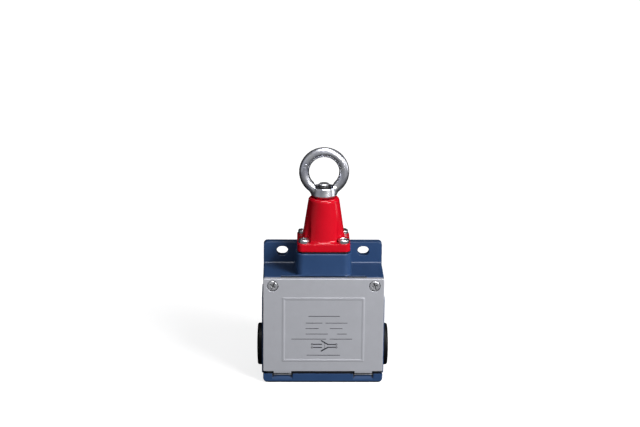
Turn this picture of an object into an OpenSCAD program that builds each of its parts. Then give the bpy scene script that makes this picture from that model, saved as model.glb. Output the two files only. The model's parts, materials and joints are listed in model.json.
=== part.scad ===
// Rope pull switch: die-cast body with a tapered pull head, an eye nut on a
// sprung rod, a hinged front cover and a contact block inside.
// Frame: X to the right seen from the front, front faces -Y, Z up.
// Origin: middle of the two fixing slots, on the flat back face (y = 0).
// All lengths in millimetres.

/* [Body casting] */
// Width of the body and of its back flange
body_w = 60; // [59.6:0.2:62]
// Height of the body below its top face
body_h = 55.4; // [55:0.2:58]
// Depth of the body from its back face to the gasket face
body_d = 27.2; // [27:0.1:28.5]
// Height of the back flange above the body's top face
flange_h = 11; // [10.6:0.1:12]
// Thickness of the back flange
flange_t = 4.5; // [4:0.1:5]
// Distance from the slots' centre line down to the body's top face
slot_drop = 6.2; // [6:0.1:6.6]
// Thickness of the back wall
wall_back = 3; // [2.8:0.1:3.2]
// Thickness of the side walls
wall_side = 4.5; // [4.3:0.1:4.7]

/* [Fixing slots] */
// Distance between the slots' centres
slot_pitch = 41; // [40:0.1:42]
// Width of a slot, up and down
slot_w = 4.9; // [4.6:0.1:5.4]
// Length of a slot end to end, sideways
slot_l = 5.9; // [5.5:0.1:7]

/* [Cable entries] */
// Core radius of the three threaded entries
entry_r = 8.65; // [8.2:0.05:8.9]
// Height of the side entries' axis above the bottom face
entry_z = 15.4; // [15:0.1:16]
// Depth of all three entries' axes behind the back face
entry_y = 14.6; // [14.2:0.1:15]
// Radius of a blanking plug's head
plug_head_r = 10.6; // [10.2:0.1:10.8]
// How far a blanking plug's head stands out of its pad
plug_proud = 2.5; // [2.2:0.1:3.2]

/* [Front cover] */
// Thickness of the cover plate
cover_t = 2.6; // [2.5:0.1:3]
// Outer width of the raised frame round the label field
label_w = 41.4; // [38:0.2:43]
// Outer height of the raised frame round the label field
label_h = 34.5; // [32:0.5:36]
// Height of the raised frame
label_rise = 0.3; // [0.2:0.05:0.5]

/* [Pull head] */
// Width of the head's square flange
head_w = 26.2; // [25.8:0.1:27]
// Depth of the head's square flange
head_d = 20.2; // [19.8:0.1:20.8]
// Thickness of the head's flange
head_t = 4.1; // [3.8:0.1:4.4]
// Height from the head's foot to its top
head_h = 25.8; // [25.6:0.1:27]
// Half width of the tapered part at its foot
taper_rx = 10.8; // [10.4:0.1:11.2]
// Half depth of the tapered part at its foot
taper_ry = 8.8; // [8.4:0.1:9.2]
// Radius of the tapered part at its top
taper_top_r = 7.65; // [7.4:0.05:7.9]

/* [Eye nut and rod] */
// Outer radius of the eye
eye_ro = 12.4; // [12:0.1:13]
// Inner radius of the eye
eye_ri = 7.45; // [7:0.05:7.8]
// Radius of the collar at its foot
collar_r = 6.4; // [6:0.1:6.6]
// Radius of the pull rod
rod_r = 3; // [2.9:0.05:3]
// Travel of the rod, from rest to fully pulled
travel = 6; // [5:0.5:6]

/* [Hidden] */
$fn = 64;
e = 0.1;

// levels
zt = -slot_drop;              // body's top face
zb = zt - body_h;             // body's bottom face
zf = zt + flange_h;           // top of the back flange and of the neck
hw = body_w / 2;
yf = -body_d;                 // gasket face
yc = yf - 0.2;                // back of the cover
ycf = yc - cover_t;           // front of the cover
z_rim = zb + 4.8;             // top of the bottom rim
y_rim = yf - 2.2;             // front of the bottom rim
z_cov0 = zb + 6.3;            // cover's lower edge
z_cov1 = zt - 0.15;           // cover's upper edge
z_floor = zb + 8.8;           // floor of the wiring space
z_roof = zt - 3.8;            // roof of the wiring space
cav_x = hw - wall_side;       // half width of the wiring space
z_step = zt - 9.3;            // below the two corner posts
post_x = 20.8;                // inner face of the corner posts
scr_x = 25.3;                 // cover screws
scr_z = zt - 3.9;
ez = zb + entry_z;            // side entries' axis
pad_x = hw + 0.65;            // face of the side pads
hy = yf - 1.4;                // cover's pivot
hz = zb + 4.3;
tab_x = 20.3;                 // centre of each tab
ya = -15;                     // axis of rod and head
// head levels
z_neck = zf + 0.25;
z_hg = z_neck + 0.85;         // top of the head gasket, foot of the head
z_hf = z_hg + head_t;         // top of the head's flange
z_ht = z_hg + head_h;         // top of the head
hs_x = 9.8;                   // head screws, beside and in front of or behind the rod
hs_y = [-6.9, 9.2];
z_eye0 = z_ht + 0.4;          // foot of the eye nut
z_eye = z_eye0 + 12.5;        // centre of the eye
z_rod1 = z_eye0 + 6.6;        // top of the rod
z_rod0 = zt - 1.3;            // lower end of the rod
z_seat = z_hg + 2.1;          // underside of the spring seat
z_bush = z_hg + 19.1;         // underside of the guide bush
// contact block levels
bt = zt - 7.3;                // top of the block
bz = zt - 21.8;               // middle of the bridge at rest

// ---------- helpers ----------
function arc(cx, cy, r, a0, a1, n) = [for (i = [0 : n]) let (a = a0 + (a1 - a0) * i / n) [cx + r * cos(a), cy + r * sin(a)]];
// outline of a rectangle with its own radius at each corner, from lower left round to upper left
function rrect(x0, y0, x1, y1, r, n = 6) = concat(
  arc(x0 + r[0], y0 + r[0], r[0], 180, 270, n), arc(x1 - r[1], y0 + r[1], r[1], 270, 360, n),
  arc(x1 - r[2], y1 - r[2], r[2], 0, 90, n), arc(x0 + r[3], y1 - r[3], r[3], 90, 180, n));
module bx(x0, x1, y0, y1, z0, z1) { translate([x0, y0, z0]) cube([x1 - x0, y1 - y0, z1 - z0]); }
module cx(y, z, x0, x1, r) { translate([x0, y, z]) rotate([0, 90, 0]) cylinder(h = x1 - x0, r = r); }
module cy(x, z, y0, y1, r) { translate([x, y1, z]) rotate([90, 0, 0]) cylinder(h = y1 - y0, r = r); }
module cz(x, y, z0, z1, r) { translate([x, y, z0]) cylinder(h = z1 - z0, r = r); }
module prism_y(pts, y0, y1) { translate([0, y1, 0]) rotate([90, 0, 0]) linear_extrude(height = y1 - y0) polygon(pts); }
module prism_x(pts, x0, x1) { translate([x0, 0, 0]) rotate([90, 0, 90]) linear_extrude(height = x1 - x0) polygon(pts); }
module both() { children(); mirror([1, 0, 0]) children(); }
// coil spring swept along a helix, with closed ends squeezed together
module coil(rm, rw, z0, z1, turns, ns = 8, np = 16) {
  n = turns * np;
  zs = function(i) let (t = i / n, k = 0.9 / turns) (t < k) ? z0 + rw + rw * 1.9 * t / k * 0.9
    : (t > 1 - k) ? z1 - rw - rw * 1.9 * (1 - t) / k * 0.9
    : z0 + rw * 2.71 + (z1 - z0 - rw * 5.42) * (t - k) / (1 - 2 * k);
  pts = [for (i = [0 : n]) let (a = 360 * i / np) for (j = [0 : ns - 1]) let (b = 360 * j / ns)
    [(rm + rw * cos(b)) * cos(a), (rm + rw * cos(b)) * sin(a), zs(i) + rw * sin(b)]];
  faces = concat([[for (j = [0 : ns - 1]) j]], [[for (j = [0 : ns - 1]) n * ns + ns - 1 - j]],
    [for (i = [0 : n - 1]) for (j = [0 : ns - 1]) let (k = (j + 1) % ns) [i * ns + j, (i + 1) * ns + j, (i + 1) * ns + k]],
    [for (i = [0 : n - 1]) for (j = [0 : ns - 1]) let (k = (j + 1) % ns) [i * ns + j, (i + 1) * ns + k, i * ns + k]]);
  polyhedron(points = pts, faces = faces, convexity = 10);
}
// screw along -Z, underside of its head at z = 0: pan head with a crossed recess and a plain shank;
// slot = 1 carries one arm of the cross right across the head
module screw(hr, hh, sr, len, rec = 0.9, slot = 0) {
  difference() {
    union() {
      rotate_extrude() polygon(concat([[0, 0], [hr, 0], [hr, hh * 0.45]], arc(hr - hh * 0.55, hh * 0.45, hh * 0.55, 0, 80, 5), [[0, hh]]));
      translate([0, 0, -len]) cylinder(h = len + hh * 0.3, r = sr);
    }
    for (a = [0, 90]) let (k = (a == 0 && slot == 1) ? 1.1 : 0.62) rotate([0, 0, a])
      translate([-hr * k, -hr * 0.11, hh - rec]) cube([hr * k * 2, hr * 0.22, rec + e]);
  }
}

// ---------- casing ----------
module body_casting() color([0.17, 0.27, 0.42]) difference() {
  union() {
    // body
    prism_y(rrect(-hw, zb, hw, zt, [2.7, 2.7, 0.8, 0.8]), yf, 0);
    // back flange
    prism_y(rrect(-hw, zt - 5, hw, zf, [0.1, 0.1, 2, 2]), -flange_t, 0);
    // bottom rim in front of the gasket face
    prism_y(rrect(-hw, zb, hw, z_rim, [2.7, 2.7, 0.4, 0.4]), y_rim, yf + 1);
    // neck under the head
    translate([0, 0, zt - 1]) linear_extrude(height = z_neck - zt + 1)
      polygon(rrect(-13.8, -25.5, 13.8, -1, [4, 4, 0.1, 0.1], 8));
    // pads round the side entries
    both() prism_x(rrect(-25.4, zb + 3.4, -2.4, zt - 11.8, [1.5, 1.5, 1.5, 1.5], 4), hw - 1, pad_x);
  }
  // wiring space, narrower between the corner posts
  prism_y([[-cav_x, z_floor], [cav_x, z_floor], [cav_x, z_step], [post_x, z_step], [post_x, z_roof],
    [-post_x, z_roof], [-post_x, z_step], [-cav_x, z_step]], yf - e, -wall_back);
  // fixing slots
  both() translate([slot_pitch / 2, 0, 0]) {
    for (s = [-1, 1]) cy(s * (slot_l - slot_w) / 2, 0, -flange_t - e, e, slot_w / 2);
    bx(-(slot_l - slot_w) / 2, (slot_l - slot_w) / 2, -flange_t - e, e, -slot_w / 2, slot_w / 2);
  }
  // side entries and bottom entry
  both() cx(-entry_y, ez, cav_x - e, pad_x + e, entry_r);
  cz(0, -entry_y, zb - e, z_floor + e, entry_r);
  // gasket groove
  difference() {
    prism_y(gasket_outer(0), yf - e, yf + 1.3);
    prism_y(gasket_outer(1.6, 6.6), yf - 2 * e, yf + 1.4);
  }
  // relief along the top edge for the gasket's lip
  bx(-21.3, 21.3, yf - e, yf + 1.6, zt - 1.5, zt + e);
  // tapped holes and recesses for the cover screws
  both() { cy(scr_x, scr_z, yf - e, yf + 6.5, 1.5); cy(scr_x, scr_z, yf - e, yf + 0.5, 2.2); }
  // notches for the cover's tabs, each with a shallow scoop in front and open-topped troughs for the ears
  both() {
    bx(tab_x - 5.05, tab_x + 5.05, y_rim - e, yf - 0.1, zb + 3.8, z_cov0 + e);
    prism_x([[y_rim - e, zb + 1.9], [yf - 1.35, zb + 3.6], [yf - 1.35, zb + 4], [y_rim - e, zb + 4]], tab_x - 5.05, tab_x + 5.05);
    bx(tab_x - 6, tab_x + 6, hy - 0.45, hy + 0.45, hz, hz + 2);
    cx(hy, hz, tab_x - 6, tab_x + 6, 0.45);
  }
  // bore for the rod and tapped holes for the head screws
  cz(0, ya, z_roof - e, z_neck + e, 5.2);
  for (sx = [-1, 1]) for (dy = hs_y) cz(sx * hs_x, ya + dy, z_neck - 9, z_neck + e, 1.5);
  // tapped holes for the contact block and the earth screw
  cy(-19.5, zt - 12.4, -wall_back - e, -0.6, 1.5);
  cy(19.5, zt - 37.6, -wall_back - e, -0.6, 1.5);
  cy(-17, z_floor + 4, -wall_back - e, -0.6, 1.7);
}
// outline of the gasket, drawn in by w, with its lower edge b above the bottom face
function gasket_outer(w, b = 4.9) = [
  [-23 + w, zt - 1.5 - w], [23 - w, zt - 1.5 - w], [23 - w, zt - 7.1 - w], [28.1 - w, zt - 7.1 - w],
  [28.1 - w, zb + b + w], [-28.1 + w, zb + b + w], [-28.1 + w, zt - 7.1 - w], [-23 + w, zt - 7.1 - w]];
module cover_gasket() color([0.04, 0.04, 0.045]) union() {
  difference() {
    prism_y(gasket_outer(0.05), yf - 0.15, yf + 1.3);
    prism_y(gasket_outer(1.55, 6.6), yf - 1, yf + 2);
  }
  // lip that fills the relief along the top edge
  bx(-21.2, 21.2, yf - 0.15, yf + 1.2, zt - 1.65, zt - 0.15);
  bx(-21.2, 21.2, yf + 1, yf + 1.5, zt - 1.45, zt - 0.15);
  // lips that fill the gap between the cover's lower edge and the bottom rim
  bx(-tab_x + 5.1, tab_x - 5.1, yf - 1.9, yf - 0.05, z_rim + 0.05, z_cov0 - 0.15);
  both() bx(tab_x + 5.1, 28, yf - 1.9, yf - 0.05, z_rim + 0.05, z_cov0 - 0.15);
}
module front_cover() color([0.63, 0.64, 0.66]) difference() {
  union() {
    prism_y(rrect(-hw, z_cov0, hw, z_cov1, [0.6, 0.6, 0.9, 0.9], 4), ycf, yc);
    // raised frame round the label field
    difference() {
      prism_y(label_frame(0), ycf - label_rise, ycf + 1);
      prism_y(label_frame(1.75), ycf - 1, ycf);
    }
    // locating ribs inside
    both() bx(cav_x - 1.6, cav_x - 0.6, yc - e, yc + 1, z_floor + 1, z_step - 1);
    // tabs that stand in the bottom rim's notches, each with a rib that ends in two ears
    both() {
      bx(tab_x - 4.4, tab_x + 4.4, ycf, yc, hz + 1.1, z_cov0 + 1);
      bx(tab_x - 4.4, tab_x + 4.4, hy + 0.05, hy + 0.5, hz, hz + 1.3);
      cx(hy, hz, tab_x - 5.8, tab_x + 5.8, 0.35);
    }
  }
  // sunk seats and clearance holes for the screws
  both() { cy(scr_x, scr_z, ycf - e, ycf + 1.4, 2.8); cy(scr_x, scr_z, ycf, yc + e, 1.6); }
}
// outline of the label frame, drawn in by w
function label_frame(w) = rrect(-label_w / 2 + w, (z_cov0 + z_cov1) / 2 - 2.2 - label_h / 2 + w,
  label_w / 2 - w, (z_cov0 + z_cov1) / 2 - 2.2 + label_h / 2 - w, [0.8, 0.8, 0.8, 0.8], 3);
module cover_screws() color([0.75, 0.75, 0.77]) both() translate([scr_x, ycf + 1.4, scr_z]) rotate([90, 0, 0])
  rotate([0, 0, 40]) screw(2.6, 1.5, 1.2, 5, 0.5, 1);
module cover_screw_rings() color([0.8, 0.8, 0.78]) both() difference() {
  cy(scr_x, scr_z, yf - 0.1, yf + 0.4, 2);
  cy(scr_x, scr_z, yf - 1, yf + 1, 1.25);
}

// ---------- pull head ----------
module pull_head() color([0.76, 0.06, 0.12]) translate([0, ya, 0]) difference() {
  union() {
    translate([0, 0, z_hg]) linear_extrude(height = head_t) polygon(rrect(-head_w / 2, -head_d / 2, head_w / 2, head_d / 2 + 2.3, [2.6, 2.6, 2.6, 2.6], 6));
    // tapered part, oval at its foot and round at its top
    hull() {
      translate([0, 0, z_hf - 1]) linear_extrude(height = 1) scale([taper_rx, taper_ry]) circle(r = 1, $fn = 48);
      translate([0, 0, z_ht - 0.8]) cylinder(h = 0.01, r = taper_top_r, $fn = 48);
      translate([0, 0, z_ht - 0.25]) cylinder(h = 0.01, r = taper_top_r - 0.3, $fn = 48);
      translate([0, 0, z_ht - 0.01]) cylinder(h = 0.01, r = taper_top_r - 0.8, $fn = 48);
    }
  }
  // screw pockets cut down the taper, and screw holes
  for (sx = [-1, 1]) for (dy = hs_y) {
    cz(sx * hs_x, dy, z_hf, z_ht - 4, 3.2);
    cz(sx * hs_x, dy, z_hg - e, z_hf + e, 1.7);
  }
  // seat for the base plate, spring chamber, bush seat, rod hole, seal seat
  cz(0, 0, z_hg - e, z_hg + 2, 8.5);
  cz(0, 0, z_hg, z_bush + 1, 6);
  cz(0, 0, z_bush, z_bush + 4.6, 4.5);
  cz(0, 0, z_bush, z_ht + e, 3.4);
  cz(0, 0, z_ht - 1.9, z_ht + e, 5);
}
module head_gasket() color([0.05, 0.05, 0.055]) translate([0, ya, 0]) difference() {
  translate([0, 0, z_neck]) linear_extrude(height = z_hg - z_neck) polygon(rrect(-12.6, -9.6, 12.6, 11.9, [2.4, 2.4, 2.4, 2.4], 6));
  cz(0, 0, z_neck - 1, z_hg + 1, 7);
  for (sx = [-1, 1]) for (dy = hs_y) cz(sx * hs_x, dy, z_neck - 1, z_hg + 1, 1.7);
}
module head_screws() color([0.78, 0.78, 0.8]) for (sx = [-1, 1]) for (dy = hs_y)
  translate([sx * hs_x, ya + dy, z_hf]) rotate([0, 0, sx * dy * 3]) screw(2.8, 2, 1.45, 12.2, 1.1);
module head_base_plate() color([0.7, 0.7, 0.72]) difference() {
  cz(0, ya, z_hg, z_hg + 2, 8.45);
  cz(0, ya, z_hg - 1, z_hg + 3, 4.6);
}
module guide_bush() color([0.72, 0.58, 0.28]) translate([0, ya, z_bush]) difference() {
  union() { cylinder(h = 4.6, r = 4.45); cylinder(h = 1, r = 5.9); }
  translate([0, 0, -1]) cylinder(h = 8, r = rod_r + 0.05);
}
module rod_seal() color([0.06, 0.06, 0.06]) translate([0, ya, z_ht - 1.9]) rotate_extrude()
  polygon([[rod_r + 0.08, 0.5], [rod_r + 0.5, 0], [4.95, 0], [4.95, 1.9], [4.2, 1.9], [3.6, 2.2], [rod_r + 0.08, 2.2]]);
module pull_rod() color([0.66, 0.66, 0.68]) translate([0, ya, 0]) rotate_extrude() polygon([
  [0, z_rod0], [rod_r - 0.8, z_rod0], [rod_r, z_rod0 + 0.8], [rod_r, z_seat - 1.05], [2.5, z_seat - 1.05],
  [2.5, z_seat - 0.05], [rod_r, z_seat - 0.05], [rod_r, z_ht], [rod_r - 0.05, z_ht], [rod_r - 0.05, z_rod1 - 0.8],
  [rod_r - 0.85, z_rod1], [0, z_rod1]]);
module spring_seat() color([0.7, 0.7, 0.72]) translate([0, ya, z_seat]) difference() {
  union() { cylinder(h = 1.2, r = 5.6); cylinder(h = 2, r = 3.9); }
  translate([0, 0, -1]) cylinder(h = 4, r = rod_r + 0.1);
}
module rod_circlip() color([0.25, 0.25, 0.26]) translate([0, ya, z_seat - 1]) difference() {
  cylinder(h = 0.9, r = 4.3);
  translate([0, 0, -1]) cylinder(h = 3, r = 2.55);
  translate([-1.6, -5, -1]) cube([3.2, 5, 3]);
}
module return_spring() color([0.6, 0.6, 0.62]) translate([0, ya, 0]) coil(4.7, 0.5, z_seat + 1.25, z_bush - 0.05, 7);
module eye_nut() color([0.72, 0.73, 0.76]) difference() {
  union() {
    translate([0, ya, z_eye]) rotate([90, 0, 0]) rotate_extrude() translate([(eye_ro + eye_ri) / 2, 0]) circle(r = (eye_ro - eye_ri) / 2);
    translate([0, ya, z_eye0]) rotate_extrude() polygon([[0, 0], [collar_r - 0.8, 0], [collar_r, 0.9], [5.75, 4.8], [0, 4.8]]);
  }
  // flat foot, deep seat on top and thread for the rod
  bx(-10, 10, ya - 10, ya + 10, z_eye0 - 3, z_eye0);
  cz(0, ya, z_eye0 - 1, z_eye0 + 8.6, rod_r);
  cz(0, ya, z_eye0 + 2.8, z_eye0 + 9.6, 4.9);
}

// ---------- contact block ----------
module contact_block_base() color([0.16, 0.16, 0.17]) difference() {
  union() {
    bx(-12.6, 12.6, -20, -wall_back, bt - 32.5, bt);
    bx(-23.4, 23.4, -13, -wall_back, bt - 33, bt - 2.5);
    // barriers between the terminals
    both() bx(16.6, 23.4, -17, -12.9, zt - 25.3, zt - 24.3);
  }
  // lower left corner cut away for the earth screw
  bx(-23.5, -12.7, -13 - e, -wall_back + e, bt - 34, bt - 30.4);
  bx(-10.6, 10.6, -20 - e, -9.5, bt - 30, bt - 2.5);
  cz(0, ya, bt - 3, bt + e, 2.1);
  cz(0, ya, bt - 31.3, bt - 29, 2.4);
  both() {
    // slots for the contact strips
    bx(10, 13.4, -16.6, -12.9, bz - 2.4, bz - 1.4);
    bx(10, 13.4, -16.6, -12.9, bz + 3.8, bz + 4.8);
    // holes for the terminal screws
    for (z = [zt - 18.8, zt - 30.8]) cy(19, z, -13 - e, -7.2, 1.75);
  }
  cy(-19.5, zt - 12.4, -13 - e, -wall_back + e, 1.6);
  cy(19.5, zt - 37.6, -13 - e, -wall_back + e, 1.6);
}
module contact_block_cover() color([0.5, 0.5, 0.5]) union() {
  bx(-12.6, 12.6, -21.5, -20, bt - 32.5, bt);
  difference() {
    bx(-10.5, 10.5, -20.1, -19.2, bt - 29.9, bt - 2.6);
    bx(-9.3, 9.3, -20.05, -19, bt - 28.7, bt - 3.8);
  }
}
module contact_plunger() color([0.9, 0.9, 0.87]) difference() {
  union() {
    cz(0, ya, zt - 17, z_rod0 - 0.15, 2);
    bx(-3.2, 3.2, ya - 2.5, ya + 2.5, zt - 32.3, zt - 16.3);
  }
  // window for the bridge and its spring
  bx(-3.3, 3.3, ya - 1.6, ya + 1.6, zt - 28, bz + 0.6);
  // pocket for the plunger spring
  cz(0, ya, zt - 33, zt - 30.3, 2.2);
}
module contact_bridge() color([0.75, 0.6, 0.3]) bx(-9.4, 9.4, ya - 1.5, ya + 1.5, bz - 0.4, bz + 0.4);
module bridge_contact_tips() color([0.85, 0.85, 0.86]) both() {
  cz(8, ya, bz + 0.4, bz + 0.9, 1.3);
  cz(8, ya, bz - 0.9, bz - 0.4, 1.3);
}
module contact_spring() color([0.6, 0.6, 0.62]) translate([0, ya, 0]) coil(1.1, 0.18, zt - 27.98, bz - 0.42, 5, 6, 12);
module plunger_spring() color([0.6, 0.6, 0.62]) translate([0, ya, 0]) coil(1.8, 0.25, bt - 31.25, zt - 30.32, 6, 6, 14);
// strip on the right-hand side: tongue at height zi, terminal plate centred on height zo
module strip(zi, zo) difference() {
  union() {
    bx(6.4, 13.4, -16.5, -13, zi - 0.4, zi + 0.4);
    bx(12.7, 16, -13.8, -13, min(zi - 0.4, zo - 3.3), max(zi + 0.4, zo + 3.3));
    bx(15, 23, -13.8, -13, zo - 3.5, zo + 3.5);
  }
  cy(19, zo, -14.5, -12.5, 1.75);
}
module fixed_contacts_closed() color([0.75, 0.6, 0.3]) both() strip(bz - 1.9, zt - 30.8);
module fixed_contacts_open() color([0.75, 0.6, 0.3]) both() strip(bz + 4.3, zt - 18.8);
module fixed_contact_tips() color([0.85, 0.85, 0.86]) both() {
  cz(8, ya, bz - 1.5, bz - 0.95, 1.3);
  cz(8, ya, bz + 3.35, bz + 3.9, 1.3);
}
module terminal_screws() color([0.78, 0.76, 0.7]) both() for (z = [zt - 18.8, zt - 30.8])
  translate([19, -14.8, z]) rotate([90, 0, 0]) screw(2.9, 2.1, 1.7, 7, 1.1);
module terminal_clamps() color([0.72, 0.72, 0.7]) both() for (z = [zt - 18.8, zt - 30.8]) difference() {
  bx(15.8, 22.2, -14.8, -13.8, z - 3.2, z + 3.2);
  cy(19, z, -15.5, -13, 1.8);
}
module contact_block_screws() color([0.7, 0.7, 0.72]) for (p = [[-19.5, zt - 12.4], [19.5, zt - 37.6]])
  translate([p[0], -13, p[1]]) rotate([90, 0, 0]) screw(2.6, 1.8, 1.45, 12.2, 1);
module earth_washer() color([0.75, 0.74, 0.7]) difference() {
  cy(-17, z_floor + 4, -wall_back - 1.2, -wall_back, 3.6);
  cy(-17, z_floor + 4, -wall_back - 2, 0, 1.75);
}
module earth_screw() color([0.76, 0.62, 0.3]) translate([-17, -wall_back - 1.2, z_floor + 4]) rotate([90, 0, 0]) screw(3, 2, 1.65, 3.5, 1);

// ---------- blanking plugs ----------
module plug() difference() {
  translate([pad_x, -entry_y, ez]) rotate([0, 90, 0]) rotate_extrude() polygon(concat(
    [[0, -2], [6.4, -2], [6.4, -4.8], [entry_r - 0.45, -4.8], [entry_r - 0.05, -4.4], [entry_r - 0.05, 0.6], [plug_head_r - 0.5, 0.6], [plug_head_r - 0.5, 0], [plug_head_r, 0]],
    arc(plug_head_r - 1.1, plug_proud - 1.3, 1.1, 0, 70, 5), [[5, plug_proud - 0.06], [0, plug_proud]]));
  // slot for a coin or a blade
  translate([pad_x + plug_proud - 1.2, -entry_y - 6, ez - 1]) cube([3, 12, 2]);
}
module blanking_plug_left() color([0.045, 0.045, 0.05]) mirror([1, 0, 0]) plug();
module blanking_plug_right() color([0.045, 0.045, 0.05]) plug();
module plug_seals() color([0.1, 0.1, 0.1]) both() difference() {
  cx(-entry_y, ez, pad_x, pad_x + 0.58, plug_head_r - 0.55);
  cx(-entry_y, ez, pad_x - 1, pad_x + 2, entry_r);
}

body_casting();
front_cover();
cover_gasket();
cover_screws();
cover_screw_rings();
pull_head();
head_gasket();
head_screws();
head_base_plate();
guide_bush();
rod_seal();
pull_rod();
spring_seat();
rod_circlip();
return_spring();
eye_nut();
contact_block_base();
contact_block_cover();
contact_plunger();
contact_bridge();
bridge_contact_tips();
contact_spring();
plunger_spring();
fixed_contacts_closed();
fixed_contacts_open();
fixed_contact_tips();
terminal_screws();
terminal_clamps();
contact_block_screws();
earth_screw();
earth_washer();
blanking_plug_left();
blanking_plug_right();
plug_seals();
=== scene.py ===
import json
import math

import bmesh
import bpy
import numpy as np
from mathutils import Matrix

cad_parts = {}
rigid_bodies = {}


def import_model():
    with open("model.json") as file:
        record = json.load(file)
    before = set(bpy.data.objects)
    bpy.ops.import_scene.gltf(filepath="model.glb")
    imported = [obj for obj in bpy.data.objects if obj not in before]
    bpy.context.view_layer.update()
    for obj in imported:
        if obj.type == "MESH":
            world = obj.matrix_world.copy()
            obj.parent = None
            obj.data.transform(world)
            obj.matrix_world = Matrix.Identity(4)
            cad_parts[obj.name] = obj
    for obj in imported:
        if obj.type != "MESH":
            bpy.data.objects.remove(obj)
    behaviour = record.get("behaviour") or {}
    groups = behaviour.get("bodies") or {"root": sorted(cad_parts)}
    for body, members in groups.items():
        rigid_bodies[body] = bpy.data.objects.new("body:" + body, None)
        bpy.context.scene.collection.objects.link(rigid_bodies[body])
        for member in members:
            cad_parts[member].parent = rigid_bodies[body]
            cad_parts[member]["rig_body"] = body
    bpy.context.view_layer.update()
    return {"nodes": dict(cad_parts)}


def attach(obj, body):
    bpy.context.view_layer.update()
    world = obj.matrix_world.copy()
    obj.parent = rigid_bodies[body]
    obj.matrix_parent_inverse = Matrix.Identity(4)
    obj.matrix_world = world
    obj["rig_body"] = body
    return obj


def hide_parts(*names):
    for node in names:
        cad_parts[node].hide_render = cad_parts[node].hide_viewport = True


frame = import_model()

import openvdb as vdb
from mathutils import Matrix, Vector

MM = 0.001

# ------------------------------------------------------------------ levels (mm), as in part.scad
zt, zb, zf = -6.2, -61.6, 4.8
hw = 30.0
yf = -27.2
yc, ycf = -27.4, -30.0
z_rim, y_rim = -56.8, -29.4
z_cov0, z_cov1 = -55.3, -6.35
z_floor, z_roof = -52.8, -10.0
cav_x, z_step, post_x = 25.5, -15.5, 20.8
scr_x, scr_z = 25.3, -10.1
ez, entry_y, entry_r = -46.2, -14.6, 8.65
pad_x = 30.65
hy, hz = -28.6, -57.3
tab_x = 20.3
ya = -15.0
z_neck, z_hg, z_hf, z_ht = 5.05, 5.9, 10.0, 31.7
hs_x, hs_y = 9.8, (-6.9, 9.2)
z_eye0, z_eye = 32.1, 44.6
z_rod1, z_rod0, z_seat, z_bush = 38.7, -7.5, 8.0, 25.0
eye_ro, eye_ri = 12.4, 7.45
rod_r = 3.0
PI = math.pi


# ------------------------------------------------------------------ distance-field modelling
def hyp(a, b):
    return np.sqrt(a * a + b * b)


def inter(a, b, r=0.0):
    """Intersection of two solids whose new edge is rounded with radius r."""
    if r == 0.0:
        return np.maximum(a, b)
    return np.minimum(-r, np.maximum(a, b)) + hyp(np.maximum(r + a, 0), np.maximum(r + b, 0))


def union(a, b, r=0.0):
    if isinstance(r, float) and r == 0.0:
        return np.minimum(a, b)
    return np.maximum(r, np.minimum(a, b)) - hyp(np.maximum(r - a, 0), np.maximum(r - b, 0))


def cut(a, b, r=0.0):
    return inter(a, -b, r)


def rr2(px, pz, x0, z0, x1, z1, r):
    """Rectangle with its own radius at each corner: lower left, lower right, upper right, upper left."""
    X, Z = px - (x0 + x1) / 2, pz - (z0 + z1) / 2
    rad = np.where(X > 0, np.where(Z > 0, r[2], r[1]), np.where(Z > 0, r[3], r[0]))
    qx, qz = np.abs(X) - (x1 - x0) / 2 + rad, np.abs(Z) - (z1 - z0) / 2 + rad
    return np.minimum(np.maximum(qx, qz), 0) + hyp(np.maximum(qx, 0), np.maximum(qz, 0)) - rad


def slab(t, lo, hi):
    return np.maximum(lo - t, t - hi)


def box3(x, y, z, x0, x1, y0, y1, z0, z1, r=0.0):
    """Box with edges rounded by r."""
    qx = np.abs(x - (x0 + x1) / 2) - (x1 - x0) / 2 + r
    qy = np.abs(y - (y0 + y1) / 2) - (y1 - y0) / 2 + r
    qz = np.abs(z - (z0 + z1) / 2) - (z1 - z0) / 2 + r
    out = np.sqrt(np.maximum(qx, 0) ** 2 + np.maximum(qy, 0) ** 2 + np.maximum(qz, 0) ** 2)
    return np.minimum(np.maximum(qx, np.maximum(qy, qz)), 0) + out - r


def tri_wave(t):
    return np.abs((t % 1.0) - 0.5) * 2.0


def thread(radial, angle, along, r_core, depth, pitch, lo, hi):
    """Radius field of a tapped hole's helical thread that runs out at both ends."""
    w = np.clip(np.minimum(along - lo, hi - along) / 0.8, 0, 1)
    wave = np.clip(tri_wave(along / pitch + angle / (2 * PI)) * 1.35 - 0.15, 0, 1)
    return radial - (r_core + depth * w * wave)


def field_gradient(fn, p, e):
    g = np.empty_like(p)
    for k in range(3):
        a, b = p.copy(), p.copy()
        a[:, k] += e
        b[:, k] -= e
        g[:, k] = (fn(a[:, 0], a[:, 1], a[:, 2]) - fn(b[:, 0], b[:, 1], b[:, 2])) / (2 * e)
    return g


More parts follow.
